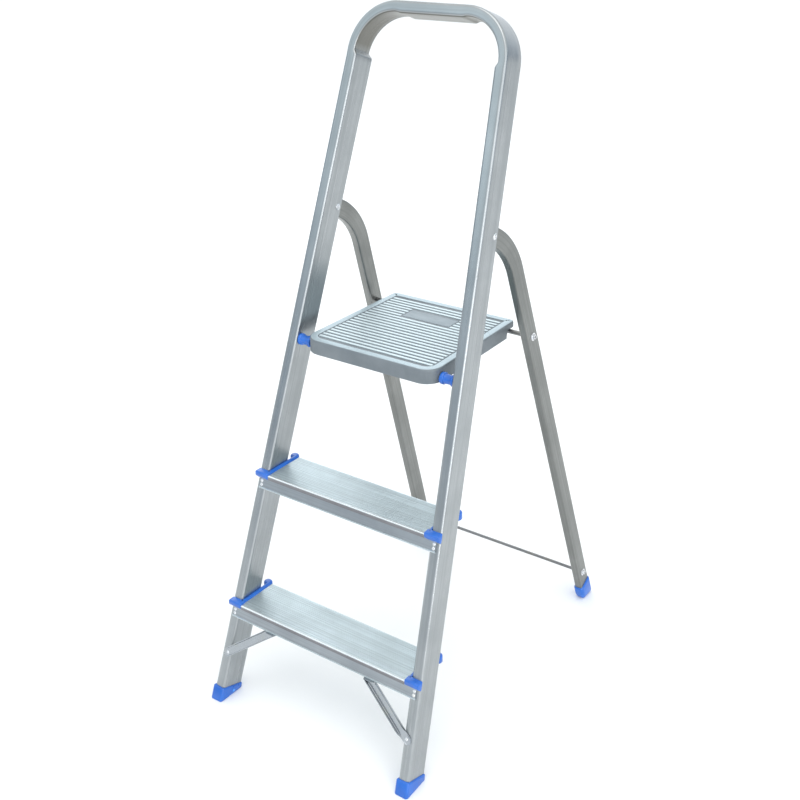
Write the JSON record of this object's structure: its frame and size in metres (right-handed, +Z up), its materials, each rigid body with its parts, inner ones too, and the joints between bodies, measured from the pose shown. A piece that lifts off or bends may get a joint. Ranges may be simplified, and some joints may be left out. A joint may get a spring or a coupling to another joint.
{
  "type": "step ladder",
  "caption": "Folding A-frame step ladder with ribbed treads, a tip-up platform, a bent hand rail over the top and moulded plastic caps and feet.",
  "frame": {"origin": "on the floor, on the ladder's middle plane, midway between the front and rear feet's outer ends", "axes": "+Z up, the climber stands on the -Y side and faces +Y, +X to the climber's right"},
  "size_m": [0.4338, 0.6782, 1.1691],
  "materials": {
    "frame_aluminium": "satin anodised channel section",
    "leg_aluminium": "satin tube",
    "tread_aluminium": "bright ribbed extrusion",
    "zinc_plate": "bright zinc plated strip",
    "rod_steel": "zinc plated round bar",
    "fastener_steel": "zinc plated",
    "blue_plastic": "satin moulded royal blue",
    "platform_plastic": "silver-grey moulded plastic with a fine grain"
  },
  "bodies": {
    "front_frame": {"front_frame": "frame_aluminium", "front_foot_left": "blue_plastic", "front_foot_right": "blue_plastic", "front_foot_rivets": "blue_plastic", "tread_lower": "tread_aluminium", "tread_upper": "tread_aluminium", "tread_cap_lower_left": "blue_plastic", "tread_cap_lower_right": "blue_plastic", "tread_cap_upper_left": "blue_plastic", "tread_cap_upper_right": "blue_plastic", "tread_rivets": "fastener_steel", "brace_left": "zinc_plate", "brace_right": "zinc_plate", "brace_rivets": "fastener_steel", "platform_bush_left": "blue_plastic", "platform_bush_right": "blue_plastic", "platform_pins": "fastener_steel", "leg_pivot_rivets": "fastener_steel"},
    "rear_frame": {"rear_leg_left": "leg_aluminium", "rear_leg_right": "leg_aluminium", "leg_pivot_washers": "fastener_steel", "upper_cross_rod": "rod_steel", "lower_cross_rod": "rod_steel", "rod_washers": "fastener_steel", "rod_nuts": "fastener_steel", "rear_foot_left": "blue_plastic", "rear_foot_right": "blue_plastic"},
    "platform": {"platform": "platform_plastic"}
  },
  "joints": [
    {"name": "rear_frame_fold", "type": "hinge", "parent": "front_frame", "child": "rear_frame", "pos_m": [0, -0.00308, 0.84027], "axis": [-1, 0, 0], "range_deg": [0, 35.4]},
    {"name": "platform_fold", "type": "hinge", "parent": "front_frame", "child": "platform", "pos_m": [0, -0.10199, 0.63223], "axis": [1, 0, 0], "range_deg": [0, 70.8]}
  ],
  "couplings": [
    {"joint": "platform_fold", "follows": "rear_frame_fold", "ratio": 2}
  ]
}
